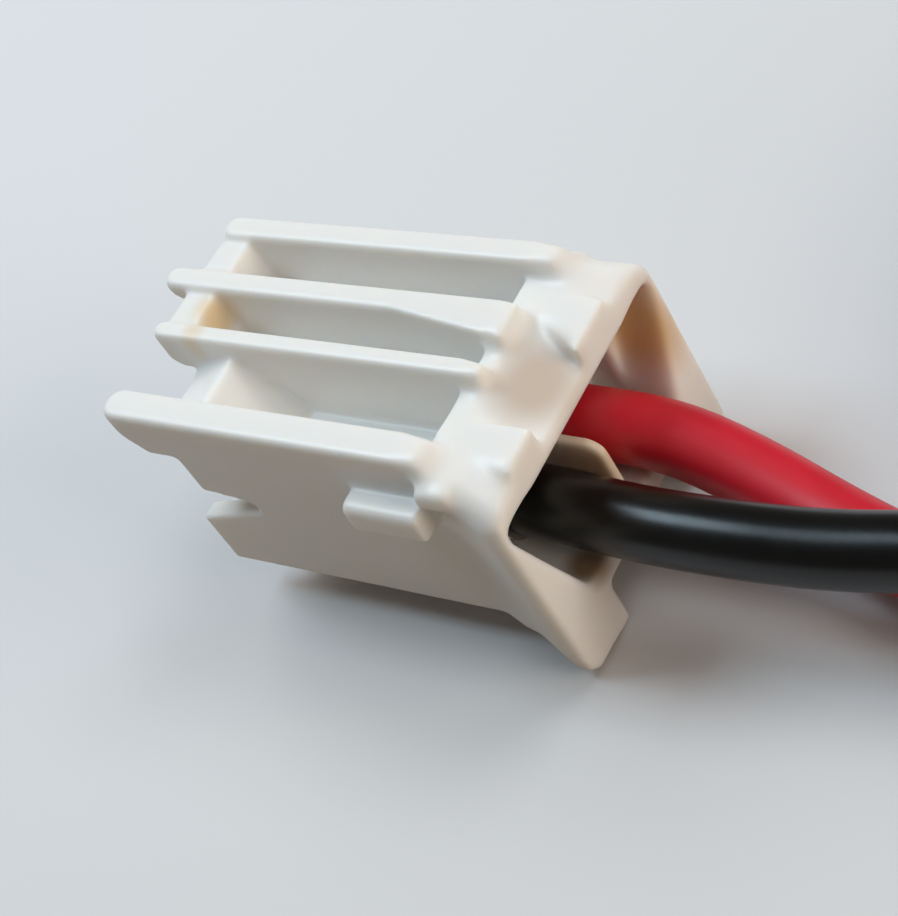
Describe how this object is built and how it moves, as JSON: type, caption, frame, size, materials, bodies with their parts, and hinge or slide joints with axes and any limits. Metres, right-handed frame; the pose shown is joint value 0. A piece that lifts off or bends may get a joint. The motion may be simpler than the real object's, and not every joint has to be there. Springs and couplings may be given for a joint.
{
  "type": "wire harness connector",
  "caption": "Ribbed rectangular crimp housing with latching fingers, a flared rear hood, crimped contacts and a red and a black lead that end in a tied coil.",
  "frame": {"origin": "middle of the housing's length and width, at the plane its two rear feet stand on", "axes": "+X from the mating end towards the leads, +Z from the feet towards the ribbed side"},
  "size_m": [0.0445, 0.027, 0.0075],
  "materials": {
    "housing": "semi-matte natural nylon",
    "contact": "tin-plated",
    "strands": "tinned copper",
    "red_insulation": "satin",
    "black_insulation": "satin",
    "tie": "semi-matte"
  },
  "bodies": {
    "root": {"housing": "housing", "red_contact": "contact", "black_contact": "contact", "red_strands": "strands", "black_strands": "strands", "red_lead": "red_insulation", "black_lead": "black_insulation", "red_lead_coil": "red_insulation", "black_lead_coil": "black_insulation", "red_tinned_end": "strands", "black_tinned_end": "strands", "coil_tie": "tie"}
  },
  "joints": []
}
